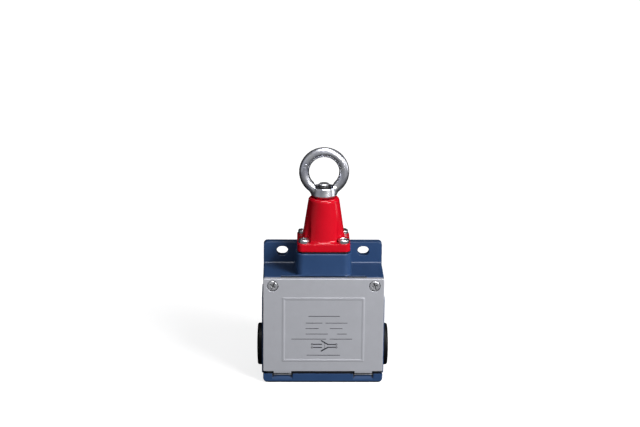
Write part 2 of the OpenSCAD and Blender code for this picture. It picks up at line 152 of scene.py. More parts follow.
def field_mesh(name, fn, lo, hi, h, adapt=0.02, steps=3, wear=0.5, well=None, plain_edges=None):
    """Meshes the solid fn < 0 inside the box lo..hi (mm) on a grid of h mm, moves every point onto its exact surface,
    takes the surface normals from the field, and stores how sharp the edge (attribute edge) or corner (attribute nook) is at each point."""
    n = [int(math.ceil((hi[i] - lo[i]) / h)) + 1 for i in range(3)]
    ax = [(lo[i] + h * np.arange(n[i])).astype(np.float32) for i in range(3)]
    d = np.broadcast_to(fn(ax[0][:, None, None], ax[1][None, :, None], ax[2][None, None, :]), n)
    d = np.clip(np.asarray(d, np.float32) / h, -3, 3)
    grid = vdb.FloatGrid(3.0)
    grid.copyFromArray(np.ascontiguousarray(d), tolerance=0.0)
    pts, tris, quads = grid.convertToPolygons(isovalue=0.0, adaptivity=adapt)
    p = np.asarray(lo, float) + h * np.asarray(pts, float)
    for _ in range(steps):
        g = field_gradient(fn, p, 0.02)
        g2 = np.maximum((g * g).sum(1), 0.05)
        v = fn(p[:, 0], p[:, 1], p[:, 2])
        p = p - g * np.clip(v / g2, -0.5 * h, 0.5 * h)[:, None]
    g = field_gradient(fn, p, 0.3 * h)
    nrm = g / np.maximum(np.linalg.norm(g, axis=1), 1e-9)[:, None]
    inside = fn(*(p - nrm * wear).T)
    outside = fn(*(p + nrm * wear).T)
    edge = np.clip((inside + wear) / wear, 0, 1)
    nook = np.clip((wear - outside) / wear, 0, 1)
    # this mask takes away the edge mark, so neither worn paint nor painted highlight shows there
    if plain_edges is not None:
        edge = edge * (1 - np.clip(plain_edges(p[:, 0], p[:, 1], p[:, 2]), 0, 1))
    faces = [tuple(int(i) for i in f) for f in quads] + [tuple(int(i) for i in f) for f in tris]
    me = bpy.data.meshes.new(name)
    me.from_pydata([tuple(v) for v in (p * MM)], [], faces)
    me.update()
    # outward faces
    bm = bmesh.new()
    bm.from_mesh(me)
    if bm.calc_volume(signed=True) < 0:
        bmesh.ops.reverse_faces(bm, faces=bm.faces[:])
        bm.to_mesh(me)
    bm.free()
    marks = [("edge", edge), ("nook", nook)]
    if well is not None:
        marks.append(("well", np.clip(well(p[:, 0], p[:, 1], p[:, 2]), 0, 1)))
    for label, values in marks:
        at = me.attributes.new(label, "FLOAT", "POINT")
        at.data.foreach_set("value", values.astype(np.float32))
    me.polygons.foreach_set("use_smooth", [True] * len(me.polygons))
    me.normals_split_custom_set_from_vertices([tuple(v) for v in nrm])
    me.update()
    ob = bpy.data.objects.new(name, me)
    bpy.context.scene.collection.objects.link(ob)
    return ob


# ------------------------------------------------------------------ camera
cam_data = bpy.data.cameras.new("camera")
cam = bpy.data.objects.new("camera", cam_data)
bpy.context.scene.collection.objects.link(cam)
bpy.context.scene.camera = cam
cam_data.sensor_fit = "HORIZONTAL"
cam_data.sensor_width = 36.0
cam_data.lens = 99.285
cam_data.clip_start = 0.01
cam_data.clip_end = 20.0
C = np.array([-20.8436, -855.2995, 276.4926]) * MM
fwd = np.array([0.02162604, 0.95715457, -0.28876883])
fwd /= np.linalg.norm(fwd)
w = math.atan2(fwd[0], fwd[1])
right0 = np.array([math.cos(w), -math.sin(w), 0.0])
up0 = np.cross(right0, fwd)
roll = math.radians(-0.546)
R = math.cos(roll) * right0 - math.sin(roll) * up0
U = math.sin(roll) * right0 + math.cos(roll) * up0
cam.matrix_world = Matrix(
    (
        (R[0], U[0], -fwd[0], C[0]),
        (R[1], U[1], -fwd[1], C[1]),
        (R[2], U[2], -fwd[2], C[2]),
        (0, 0, 0, 1),
    )
)


# ------------------------------------------------------------------ materials
def new_mat(name):
    m = bpy.data.materials.new(name)
    m.use_nodes = True
    nt = m.node_tree
    return m, nt, nt.nodes["Principled BSDF"]


def node(nt, kind, **values):
    n = nt.nodes.new(kind)
    for k, v in values.items():
        setattr(n, k, v)
    return n


def coords(nt, scale=(1, 1, 1)):
    """Object coordinates in millimetres, stretched by scale."""
    tc = node(nt, "ShaderNodeTexCoord")
    mp = node(nt, "ShaderNodeMapping")
    mp.inputs["Scale"].default_value = [1000 * s for s in scale]
    nt.links.new(tc.outputs["Object"], mp.inputs["Vector"])
    return mp.outputs["Vector"]


def noise(nt, vec, scale, detail=3.0, rough=0.55):
    n = node(nt, "ShaderNodeTexNoise")
    n.inputs["Scale"].default_value = scale
    n.inputs["Detail"].default_value = detail
    n.inputs["Roughness"].default_value = rough
    nt.links.new(vec, n.inputs["Vector"])
    return n.outputs["Fac"]


def math_node(nt, op, a, b=None, c=None, clamp=False):
    n = node(nt, "ShaderNodeMath", operation=op, use_clamp=clamp)
    for i, v in enumerate((a, b, c)):
        if v is None:
            continue
        if isinstance(v, (int, float)):
            n.inputs[i].default_value = v
        else:
            nt.links.new(v, n.inputs[i])
    return n.outputs[0]


def remap(nt, v, lo, hi, to_lo, to_hi):
    n = node(nt, "ShaderNodeMapRange")
    n.inputs["From Min"].default_value = lo
    n.inputs["From Max"].default_value = hi
    n.inputs["To Min"].default_value = to_lo
    n.inputs["To Max"].default_value = to_hi
    nt.links.new(v, n.inputs["Value"])
    return n.outputs["Result"]


def mix_rgb(nt, fac, a, b, blend="MIX"):
    n = node(nt, "ShaderNodeMix", data_type="RGBA", blend_type=blend)
    if isinstance(fac, (int, float)):
        n.inputs[0].default_value = fac
    else:
        nt.links.new(fac, n.inputs[0])
    for sock, v in ((n.inputs[6], a), (n.inputs[7], b)):
        if isinstance(v, (tuple, list)):
            sock.default_value = (*v, 1)
        else:
            nt.links.new(v, sock)
    return n.outputs[2]


def attr(nt, label):
    n = node(nt, "ShaderNodeAttribute", attribute_name=label)
    return n.outputs["Fac"]


def bump(nt, p, height, strength, distance_mm, before=None):
    n = node(nt, "ShaderNodeBump")
    n.inputs["Strength"].default_value = strength
    n.inputs["Distance"].default_value = distance_mm * MM
    nt.links.new(height, n.inputs["Height"])
    if before is not None:
        nt.links.new(before, n.inputs["Normal"])
    nt.links.new(n.outputs["Normal"], p.inputs["Normal"])
    return n.outputs["Normal"]


def painted(name, dark, light, worn_and_highlight, rough, rough_var, peel, peel_size, coat=0.0, coat_rough=0.1, wear=0.3, nook_shade=0.35, spec=0.5, well_shade=0.0):
    """Paint on a casting: colour drifts a little; edges turn lighter (worn paint and a painted highlight), concave
    corners and the marked wells take painted shade; over a fine orange peel.
    """
    m, nt, p = new_mat(name)
    v = coords(nt)
    big = noise(nt, v, 0.09, 3)
    fine = noise(nt, v, 1.6, 2)
    speck = noise(nt, v, 5.0, 2, 0.7)
    col = mix_rgb(nt, remap(nt, big, 0.3, 0.7, 0, 1), dark, light)
    # lighter edges: partly worn paint, partly a painted highlight along the edges
    e = remap(nt, attr(nt, "edge"), 0.35, 0.9, 0.0, 1.0)
    e = math_node(nt, "MULTIPLY", e, remap(nt, fine, 0.35, 0.65, 0.35, 1.0))
    col = mix_rgb(nt, math_node(nt, "MULTIPLY", e, wear, clamp=True), col, worn_and_highlight)
    # painted shade: concave corners darkened toward a quarter of the dark paint colour
    k = attr(nt, "nook")
    col = mix_rgb(nt, math_node(nt, "MULTIPLY", k, nook_shade, clamp=True), col, tuple(c * 0.25 for c in dark))
    # painted shade: the marked wells darkened almost to black
    if well_shade:
        col = mix_rgb(nt, math_node(nt, "MULTIPLY", attr(nt, "well"), well_shade, clamp=True), col, tuple(c * 0.12 for c in dark))
    nt.links.new(col, p.inputs["Base Color"])
    r = remap(nt, fine, 0.3, 0.7, rough - rough_var, rough + rough_var)
    nt.links.new(r, p.inputs["Roughness"])
    p.inputs["Specular IOR Level"].default_value = spec
    p.inputs["Coat Weight"].default_value = coat
    p.inputs["Coat Roughness"].default_value = coat_rough
    h = math_node(nt, "ADD", math_node(nt, "MULTIPLY", noise(nt, v, peel_size, 2), 1.0), math_node(nt, "MULTIPLY", speck, 0.18))
    bump(nt, p, h, peel, 0.05)
    return m


def metal(name, base, rough, rough_var, grain=(1, 1, 1), grain_scale=2.5, strength=0.2, dist=0.03, tint=None, metallic=1.0, edge_highlight=0.0, blotch=0.05, painted_shade=0.0, nook=0.45, corner_shade_tone=0.3):
    """Bare or plated metal with drawn or tumbled grain and slight random tone, a painted highlight on edges, and
    painted shade in concave corners and in the marked wells.
    """
    m, nt, p = new_mat(name)
    v = coords(nt, grain)
    iso = coords(nt)
    g = noise(nt, v, grain_scale, 4, 0.6)
    big = noise(nt, iso, 0.25, 3)
    dark = tuple(c * (1 - blotch) for c in base)
    light = tint or tuple(min(1.0, c * (1 + blotch)) for c in base)
    col = mix_rgb(nt, remap(nt, big, 0.3, 0.7, 0, 1), dark, light)
    col = mix_rgb(nt, remap(nt, g, 0.35, 0.7, 0.0, 0.35), col, tuple(c * 0.72 for c in base))
    # painted highlight: edges lightened
    if edge_highlight:
        col = mix_rgb(nt, math_node(nt, "MULTIPLY", attr(nt, "edge"), edge_highlight, clamp=True), col, tuple(min(1, c * 1.35) for c in base))
    # painted shade: concave corners darkened
    col = mix_rgb(nt, math_node(nt, "MULTIPLY", attr(nt, "nook"), nook, clamp=True), col, tuple(c * corner_shade_tone for c in base))
    # painted shade: the marked wells darkened almost to black and made a little rougher
    if painted_shade:
        col = mix_rgb(nt, math_node(nt, "MULTIPLY", attr(nt, "well"), painted_shade, clamp=True), col, tuple(c * 0.045 for c in base))
    nt.links.new(col, p.inputs["Base Color"])
    p.inputs["Metallic"].default_value = metallic
    r = remap(nt, g, 0.3, 0.7, rough - rough_var, rough + rough_var)
    if painted_shade:
        r = math_node(nt, "ADD", r, math_node(nt, "MULTIPLY", attr(nt, "well"), 0.15), clamp=True)
    nt.links.new(r, p.inputs["Roughness"])
    bump(nt, p, g, strength, dist)
    return m


def polymer(name, base, light, rough, rough_var=0.06, texture=3.0, strength=0.25, dist=0.02, spec=0.5, wear=0.2):
    """Moulded plastic or rubber with a fine eroded texture."""
    m, nt, p = new_mat(name)
    v = coords(nt)
    big = noise(nt, v, 0.2, 2)
    fine = noise(nt, v, texture, 3, 0.6)
    col = mix_rgb(nt, remap(nt, big, 0.3, 0.7, 0, 1), base, light)
    col = mix_rgb(nt, math_node(nt, "MULTIPLY", attr(nt, "edge"), wear, clamp=True), col, tuple(min(1, c * 2.2 + 0.004) for c in light))
    nt.links.new(col, p.inputs["Base Color"])
    nt.links.new(remap(nt, fine, 0.3, 0.7, rough - rough_var, rough + rough_var), p.inputs["Roughness"])
    p.inputs["Specular IOR Level"].default_value = spec
    bump(nt, p, fine, strength, dist)
    return m


M = {}
# blue and red paint: the lighter edges are partly a painted highlight; corners and marked wells take painted shade
M["blue"] = painted("blue_casting_paint", (0.0175, 0.052, 0.142), (0.0215, 0.060, 0.160), (0.33, 0.38, 0.49), 0.42, 0.05, 0.14, 0.9, coat=0.0, wear=0.75, nook_shade=0.85, spec=0.35, well_shade=0.92)
M["red"] = painted("red_head_paint", (0.555, 0.0022, 0.0125), (0.605, 0.003, 0.0155), (0.72, 0.03, 0.05), 0.22, 0.03, 0.04, 0.5, coat=0.24, coat_rough=0.08, wear=0.15, nook_shade=0.6, spec=0.08)
# metals: the edge lightening is a painted highlight; the corner and well darkening is painted shade
M["cover"] = metal("silver_cover_paint", (0.518, 0.530, 0.575), 0.48, 0.05, (1, 1, 1), 4.5, 0.12, 0.015, metallic=0.35, edge_highlight=0.35, blotch=0.025, nook=1.3, corner_shade_tone=0.08, painted_shade=1.0)
M["zinc"] = metal("bright_zinc_plate", (0.81, 0.832, 0.985), 0.27, 0.06, (1, 1, 1), 0.55, 0.13, 0.06, edge_highlight=0.2, blotch=0.22, painted_shade=0.97)
M["screw"] = metal("zinc_plated_screw_steel", (0.60, 0.60, 0.63), 0.26, 0.06, (1, 1, 1), 3.0, 0.2, 0.02, edge_highlight=0.2, painted_shade=0.85)
M["flush_screw"] = metal("matt_zinc_cover_screw", (0.62, 0.63, 0.66), 0.30, 0.06, (1, 1, 1), 3.0, 0.2, 0.02, metallic=0.75, edge_highlight=0.2, painted_shade=0.5)
M["rod"] = metal("drawn_rod_steel", (0.60, 0.605, 0.63), 0.42, 0.06, (1, 1, 0.12), 4.0, 0.25, 0.02, painted_shade=0.9)
M["spring"] = metal("spring_wire", (0.46, 0.46, 0.48), 0.3, 0.06, (1, 1, 1), 5.0, 0.25, 0.01)
M["dark"] = metal("phosphated_steel", (0.10, 0.10, 0.105), 0.5, 0.08, (1, 1, 1), 4.0, 0.3, 0.01)
M["rubber"] = polymer("black_rubber", (0.0055, 0.006, 0.0095), (0.009, 0.0095, 0.014), 0.62, 0.06, 2.5, 0.25, 0.02, spec=0.22)
M["plug"] = polymer("black_moulded_plug", (0.002, 0.002, 0.003), (0.004, 0.004, 0.0055), 0.50, 0.05, 2.8, 0.2, 0.015, spec=0.12)
M["block"] = polymer("black_contact_block", (0.02, 0.02, 0.022), (0.03, 0.03, 0.032), 0.42, 0.06, 3.0, 0.25, 0.015)
M["grey"] = polymer("grey_block_cover", (0.20, 0.205, 0.21), (0.25, 0.25, 0.26), 0.45, 0.06, 3.0, 0.25, 0.015)
M["white"] = polymer("natural_plunger", (0.70, 0.70, 0.66), (0.78, 0.78, 0.74), 0.38, 0.05, 3.0, 0.15, 0.01)
M["brass"] = metal("rolled_brass", (0.62, 0.43, 0.17), 0.3, 0.06, (1, 0.2, 1), 3.0, 0.2, 0.01)
M["bronze"] = metal("turned_bronze", (0.45, 0.30, 0.12), 0.33, 0.06, (1, 1, 4), 3.0, 0.25, 0.01)
M["tip"] = metal("silver_contact", (0.82, 0.82, 0.8), 0.22, 0.04, (1, 1, 1), 4.0, 0.15, 0.01)
M["alu"] = metal("bare_cut_casting", (0.55, 0.56, 0.58), 0.3, 0.06, (1, 1, 1), 3.0, 0.25, 0.02)


def ink_material():
    m, nt, p = new_mat("pad_printed_ink")
    v = coords(nt)
    f = noise(nt, v, 4.0, 3, 0.6)
    nt.links.new(mix_rgb(nt, remap(nt, f, 0.3, 0.7, 0, 1), (0.006, 0.007, 0.012), (0.016, 0.018, 0.03)), p.inputs["Base Color"])
    nt.links.new(remap(nt, f, 0.3, 0.7, 0.4, 0.55), p.inputs["Roughness"])
    bump(nt, p, f, 0.2, 0.005)
    return m


M["ink"] = ink_material()


def give(ob, *mats):
    ob.data.materials.clear()
    for m in mats:
        ob.data.materials.append(M[m])


# ------------------------------------------------------------------ body casting
def gasket2(x, z, g, b=4.9):
    a = rr2(x, z, -28.1 + g, zb + b + g, 28.1 - g, zt - 7.1 - g, (0.6, 0.6, 0.6, 0.6))
    b = rr2(x, z, -23 + g, zb + 7.6 + g, 23 - g, zt - 1.5 - g, (0.6, 0.6, 0.6, 0.6))
    return np.minimum(a, b)


def screw_dy(Y):
    """Distance in Y to the nearer row of head screws."""
    return np.minimum(np.abs(Y - hs_y[0]), np.abs(Y - hs_y[1]))


def body_painted_shade(x, y, z):
    """Painted shade in the notches, round the ears' troughs, in the gap behind the rim's front and as a dark line along
    the rim's lower edge.
    """
    ax = np.abs(x)
    inside = np.clip((y - y_rim - 0.12) / 0.25, 0, 1) * np.clip((z - (zb + 3.1)) / 0.4, 0, 1) * np.clip((-55 - z) / 0.1, 0, 1)
    off = np.abs(ax - tab_x)
    notch = np.clip((5.25 - off) / 0.15, 0, 1)
    inside = inside * np.maximum(notch, np.clip((z - z_rim + 0.15) / 0.1, 0, 1)) * np.clip((yf + 0.3 - y) / 0.2, 0, 1)
    trough = np.clip((6.5 - off) / 0.2, 0, 1) * np.clip((y - (hy - 0.75)) / 0.2, 0, 1) * np.clip((z - (hz - 0.8)) / 0.2, 0, 1)
    corner = np.clip((off - 4.25) / 0.2, 0, 1) * np.clip((5.35 - off) / 0.15, 0, 1) * np.clip((z - (zb + 2.3)) / 0.4, 0, 1) * np.clip((y - y_rim - 0.05) / 0.15, 0, 1)
    low = np.clip((-55 - z) / 0.1, 0, 1) * np.clip((yf + 0.3 - y) / 0.2, 0, 1)
    outline = np.maximum(np.clip((y_rim + 0.9 - y) / 0.3, 0, 1), np.clip((ax - 28.9) / 0.3, 0, 1))
    foot = outline * np.clip((zb + 1.2 - z) / 0.4, 0, 1) * 0.7
    return np.maximum(np.maximum(inside, foot), np.maximum(trough, corner) * low)


def body_plain_edges(x, y, z):
    """1 round the tabs' notches and the ears' troughs, where the edges get neither the lighter worn paint nor the
    painted highlight.
    """
    near = np.clip((7.2 - np.abs(np.abs(x) - tab_x)) / 0.4, 0, 1) * np.clip((z - (zb + 1.2)) / 0.4, 0, 1)
    return near * np.clip((-55 - z) / 0.1, 0, 1) * np.clip((yf + 0.3 - y) / 0.2, 0, 1)


def body(x, y, z):
    ax = np.abs(x)
    blk = inter(inter(rr2(x, z, -hw, zb, hw, zt, (2.7, 2.7, 0.8, 0.8)), yf - y, 0.25), y, 0.3)
    rim = inter(np.maximum(rr2(x, z, -hw, zb, hw, z_rim, (2.7, 2.7, 0.5, 0.5)), y - (yf + 1)), y_rim - y, 0.3)
    rim = inter(rim, (y_rim + 0.65 - y + zb - z) * 0.7071, 0.15)
    flange = inter(inter(rr2(x, z, -hw, zt - 5, hw, zf, (0.1, 0.1, 2, 2)), -4.5 - y, 0.28), y, 0.3)
    d = np.minimum(np.minimum(blk, rim), flange)
    # fillet where the flange meets the body's top face
    rf = 0.7
    fil = np.maximum(
        np.maximum(union(-4.5 - y, z - zt, rf), np.maximum(slab(y, -4.5 - rf, -4.3), slab(z, zt - 0.2, zt + rf))), ax - (hw - 0.3)
    )
    d = np.minimum(d, fil)
    # neck
    neck = inter(np.maximum(rr2(x, y, -13.8, -25.5, 13.8, -1, (4, 4, 0.1, 0.1)), zt - 1 - z), z - z_neck, 0.5)
    rn = np.clip((3.9 - z) / 1.5, 0.001, 1) * 0.6
    d = union(d, neck, rn)
    # pads round the side entries
    pad = inter(np.maximum(rr2(y, z, -25.4, zb + 3.4, -2.4, zt - 11.8, (1.5, 1.5, 1.5, 1.5)), hw - 1 - ax), ax - pad_x, 0.35)
    d = union(d, pad, 0.3)
    # wiring space
    c2 = np.minimum(rr2(x, z, -cav_x, z_floor, cav_x, z_step, (1.5, 1.5, 1.2, 1.2)), rr2(x, z, -post_x, z_step - 5, post_x, z_roof, (0.1, 0.1, 1.2, 1.2)))
    cav = inter(c2, y + 3.0, 0.5)
    d = cut(d, cav, 0.25)
    # fixing slots
    slot = hyp(np.maximum(np.abs(ax - 20.5) - 0.5, 0), z) - 2.45
    d = cut(d, np.maximum(slot, -6 - y), 0.14)
    # threaded side entries and bottom entry
    side_r = hyp(y - entry_y, z - ez)
    side = thread(side_r, np.arctan2(z - ez, y + 14.6), ax, entry_r, 0.55, 1.41, cav_x - 0.5, pad_x + 0.2)
    d = cut(d, np.maximum(side, cav_x - 3 - ax), 0.25)
    low = thread(hyp(x, y + 14.6), np.arctan2(y + 14.6, x), z, entry_r, 0.55, 1.41, zb - 0.3, z_floor + 0.4)
    d = cut(d, np.maximum(low, z - (z_floor + 3)), 0.3)
    # gasket groove
    groove = np.maximum(np.maximum(gasket2(x, z, 0.0), -gasket2(x, z, 1.6, 6.6)), y - (yf + 1.3))
    d = cut(d, groove, 0.12)
    # relief along the top edge
    d = cut(d, np.maximum(np.maximum(ax - 21.3, y - (yf + 1.6)), zt - 1.5 - z), 0.2)
    # tapped holes for the cover screws
    sr = hyp(ax - scr_x, z - scr_z)
    d = cut(d, np.maximum(thread(sr, np.arctan2(z - scr_z, x), y, 1.5, 0.2, 0.7, yf + 0.4, yf + 6.5), y - (yf + 6.5)), 0.0)
    d = cut(d, np.maximum(sr - 2.2, y - (yf + 0.5)), 0.12)
    # notches for the cover's tabs, with open-topped slots for the ears
    n1 = box3(ax, y, z, tab_x - 5.05, tab_x + 5.05, y_rim - 3, yf - 0.1, zb + 3.8, z_cov0 + 6, 0.12)
    n2 = np.maximum(np.maximum(np.abs(ax - tab_x) - 5.05, y - (yf - 1.35)), z - (zb + 4.2))
    n2 = inter(n2, ((zb + 1.9 - z) * 0.85 + (y - y_rim) * 1.7) / 1.9, 0.3)
    n3 = np.minimum(
        box3(ax, y, z, tab_x - 6, tab_x + 6, hy - 0.45, hy + 0.45, hz, hz + 6, 0.0),
        np.maximum(hyp(y - hy, z - hz) - 0.45, np.abs(ax - tab_x) - 6),
    )
    d = cut(d, np.maximum(n1, z - z_cov0), 0.18)
    d = cut(d, n2, 0.18)
    d = cut(d, np.maximum(n3, z - z_cov0), 0.03)
    # bore for the rod, tapped holes for head, block and earth screws
    d = cut(d, np.maximum(hyp(x, y - ya) - 5.2, z_roof - 3 - z), 0.2)
    d = cut(d, np.maximum(hyp(ax - hs_x, screw_dy(y - ya)) - 1.5, z_neck - 9 - z), 0.0)
    back = np.maximum(y + 0.6, -3.6 - y)
    d = cut(d, np.maximum(hyp(x + 19.5, z - (zt - 12.4)) - 1.5, back), 0.0)
    d = cut(d, np.maximum(hyp(x - 19.5, z - (zt - 37.6)) - 1.5, back), 0.0)
    d = cut(d, np.maximum(hyp(x + 17, z - (z_floor + 4)) - 1.7, back), 0.0)
    return d


body_ob = field_mesh("body_casting_finished", body, (-31.4, -30.2, -62.4), (31.4, 0.8, 5.7), 0.2, adapt=0.014, wear=0.35, well=body_painted_shade, plain_edges=body_plain_edges)
give(body_ob, "blue")
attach(body_ob, "housing")
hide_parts("body_casting")


# ------------------------------------------------------------------ front cover
def label2(x, z):
    zc = (z_cov0 + z_cov1) / 2 - 2.2
    return rr2(x, z, -20.7, zc - 17.25, 20.7, zc + 17.25, (0.8, 0.8, 0.8, 0.8))


def cover(x, y, z):
    ax = np.abs(x)
    plate = inter(inter(rr2(x, z, -hw, z_cov0, hw, z_cov1, (0.6, 0.6, 0.9, 0.9)), ycf - y, 0.28), y - yc, 0.2)
    # raised frame with sloping sides round the label field
    q = label2(x, z)
    t = np.clip(np.minimum(-q, q + 1.75) / 0.7, 0, 1)
    ridge = t * t * (3 - 2 * t) * 0.16
    band = np.maximum(np.maximum(q, -q - 1.75), y - (ycf + 0.6))
    d = np.minimum(plate, np.maximum(band, (ycf - ridge) - y))
    # locating ribs inside
    d = np.minimum(d, box3(ax, y, z, cav_x - 1.6, cav_x - 0.6, yc - 0.3, yc + 1, z_floor + 1, z_step - 1, 0.2))
    # tabs, each with a rib that ends in two ears
    tab = np.maximum(slab(y, ycf, yc), slab(z, hz + 1.1, z_cov0 + 1))
    tab = inter(inter(inter(tab, np.abs(ax - tab_x) - 4.4, 0.2), ycf - y, 0.25), hz + 1.1 - z, 0.15)
    web = inter(np.maximum(slab(y, hy + 0.05, hy + 0.5), slab(z, hz, hz + 1.3)), np.abs(ax - tab_x) - 4.4, 0.1)
    ears = inter(hyp(y - hy, z - hz) - 0.35, np.abs(ax - tab_x) - 5.8, 0.1)
    d = np.minimum(np.minimum(union(d, tab, 0.1), web), ears)
    # sunk seats and clearance holes for the screws
    sr = hyp(ax - scr_x, z - scr_z)
    d = cut(d, np.maximum(sr - 2.8, y - (ycf + 1.4)), 0.15)
    d = cut(d, sr - 1.6, 0.0)
    return d


def cover_painted_shade(x, y, z):
    """Painted shade on the hooks behind the tabs, darker at the ears, and in the screws' sunk seats."""
    ax = np.abs(x)
    hook = np.clip((-56.3 - z) / 0.1, 0, 1) * (0.5 + 0.45 * np.clip((np.abs(ax - tab_x) - 4.2) / 0.3, 0, 1))
    back = np.clip((-56.3 - z) / 0.1, 0, 1) * np.clip((y + 28.7) / 0.1, 0, 1) * 0.95
    seat = np.clip((2.9 - hyp(ax - scr_x, z - scr_z)) / 0.1, 0, 1) * np.clip((y - ycf - 0.25) / 0.2, 0, 1) * 0.9
    return np.maximum(np.maximum(hook, back), seat)


cover_ob = field_mesh("front_cover_finished", cover, (-30.6, -31.0, -59.6), (30.6, -25.6, -5.7), 0.14, adapt=0.01, wear=0.4, well=cover_painted_shade)
give(cover_ob, "cover")
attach(cover_ob, "cover")
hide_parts("front_cover")


# ------------------------------------------------------------------ plain contact symbol and ruled lines printed on the label field
def strokes(name, lines, y0, y1):
    """Round-ended strokes (x0, z0, x1, z1, width) as thin closed solids between the planes y0 and y1."""
    verts, faces = [], []
    for x0, z0, x1, z1, wd in lines:
        a = math.atan2(z1 - z0, x1 - x0)
        ring = []
        for cx, cz, a0 in ((x1, z1, a - PI / 2), (x0, z0, a + PI / 2)):
            ring += [(cx + wd / 2 * math.cos(a0 + PI * i / 6), cz + wd / 2 * math.sin(a0 + PI * i / 6)) for i in range(7)]
        n, k = len(ring), len(verts)
        verts += [(px * MM, y0 * MM, pz * MM) for px, pz in ring] + [(px * MM, y1 * MM, pz * MM) for px, pz in ring]
        faces += [tuple(range(k, k + n)), tuple(range(k + 2 * n - 1, k + n - 1, -1))]
        faces += [(k + i, k + n + i, k + n + (i + 1) % n, k + (i + 1) % n) for i in range(n)]
    me = bpy.data.meshes.new(name)
    me.from_pydata(verts, [], faces)
    me.update()
    bm = bmesh.new()
    bm.from_mesh(me)
    bmesh.ops.recalc_face_normals(bm, faces=bm.faces[:])
    bm.to_mesh(me)
    bm.free()
    ob = bpy.data.objects.new(name, me)
    bpy.context.scene.collection.objects.link(ob)
    return ob


def ring_strokes(cx, cz, r, wd, n=14):
    p = [(cx + r * math.cos(2 * PI * i / n), cz + r * math.sin(2 * PI * i / n)) for i in range(n + 1)]
    return [(p[i][0], p[i][1], p[i + 1][0], p[i + 1][1], wd) for i in range(n)]


sz = -41.6
symbol = []
for side in (1, -1):
    symbol += [
        (-5.0, sz + side * 0.85, -0.8, sz + side * 0.85, 0.5),
        (2.5, sz + side * 0.75, 6.0, sz + side * 0.75, 0.5),
        (2.4, sz + side * 0.75, -0.9, sz + side * 2.75, 0.6),
    ]
    symbol += ring_strokes(-5.55, sz + side * 0.85, 0.42, 0.24) + ring_strokes(6.55, sz + side * 0.75, 0.42, 0.24)
symbol += [(0.75, sz + t, 0.75, sz + t + 0.55, 0.26) for t in (-1.45, -0.28, 0.9)]
rules = [
    (-7.3, -25.9, 8.0, -25.9, 0.3), (-8.7, -29.5, -0.6, -29.5, 0.3), (1.2, -29.5, 11.9, -29.5, 0.3), (-8.7, -32.4, -2.4, -32.4, 0.3), (3.4, -32.4, 9.4, -32.4, 0.3),
    (-8.7, -35.3, 2.2, -35.3, 0.3), (7.0, -35.3, 11.6, -35.3, 0.3), (-15.8, -38.0, 1.3, -38.0, 0.3), (3.3, -38.0, 14.3, -38.0, 0.3), (-8.1, -46.6, 8.4, -46.6, 0.3),
]
print_ob = strokes("label_lines_printed", symbol + rules, ycf - 0.015, ycf + 0.03)
give(print_ob, "ink")
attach(print_ob, "cover")


# ------------------------------------------------------------------ pull head
def head(x, y, z):
    Y = y - ya
    ax, dy = np.abs(x), screw_dy(Y)
    fl = inter(inter(rr2(x, Y, -13.1, -10.1, 13.1, 12.4, (2.6, 2.6, 2.6, 2.6)), z - z_hf, 0.4), z_hg - z, 0.45)
    t = np.clip((z - z_hf) / 20.9, -0.2, 1.1)
    rx, ry = 10.8 + (7.65 - 10.8) * t, 8.8 + (7.65 - 8.8) * t
    rho = hyp(x / rx, Y / ry)
    cone = (rho - 1) * (rx * ry) / np.maximum(hyp(x / np.maximum(rho, 0.05) * ry / rx, Y / np.maximum(rho, 0.05) * rx / ry), 1.0)
    cone = inter(cone * 0.985, z - z_ht, 1.5)
    tf = np.maximum(union(cone, fl, 1.4), z_hf - 0.5 - z)
    wells = np.maximum(hyp(ax - hs_x, dy) - 3.2, z - (z_ht - 4))
    d = np.minimum(fl, cut(tf, wells, 0.45))
    d = cut(d, np.maximum(hyp(ax - hs_x, dy) - 1.7, z - (z_hf + 1)), 0.0)
    r = hyp(x, Y)
    d = cut(d, np.maximum(r - 8.5, z - (z_hg + 2)), 0.0)
    d = cut(d, np.maximum(r - 6, z - (z_bush + 1)), 0.0)
    d = cut(d, np.maximum(r - 4.5, z - (z_bush + 4.6)), 0.0)
    d = cut(d, r - 3.4, 0.0)
    d = cut(d, np.maximum(r - 5, z_ht - 1.9 - z), 0.15)
    return d


head_ob = field_mesh("pull_head_finished", head, (-13.8, -25.8, 5.2), (13.8, -1.9, 32.4), 0.14, adapt=0.01, wear=0.5)
give(head_ob, "red")
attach(head_ob, "housing")
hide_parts("pull_head")


# ------------------------------------------------------------------ eye nut
def eye(x, y, z):
    Y = y - ya
    r = hyp(x, Y)
    ring = hyp(hyp(x, z - z_eye) - (eye_ro + eye_ri) / 2, Y) - (eye_ro - eye_ri) / 2
    coll = r - (6.4 - (z - z_eye0 - 0.9) * 0.167)
    coll = inter(inter(coll, z - (z_eye0 + 4.8), 0.3), (z_eye0 - z + np.maximum(r - 5.6, 0) * 1.125) * 0.66, 0.12)
    d = union(ring, coll, 1.5)
    d = np.maximum(d, z_eye0 - z)
    d = cut(d, np.maximum(r - rod_r, z - (z_eye0 + 8.1)), 0.0)
    d = cut(d, np.maximum(np.maximum(r - 4.9, z_eye0 + 2.8 - z), z - (z_eye0 + 9.6)), 0.3)
    # shallow round marks left by the mould on both faces
    m = hyp(np.abs(x) - 9.4, z - (z_eye + 3.6))
    mark = hyp(m - 0.95, np.abs(Y) - 2.5) - 0.13
    return cut(d, mark, 0.08)


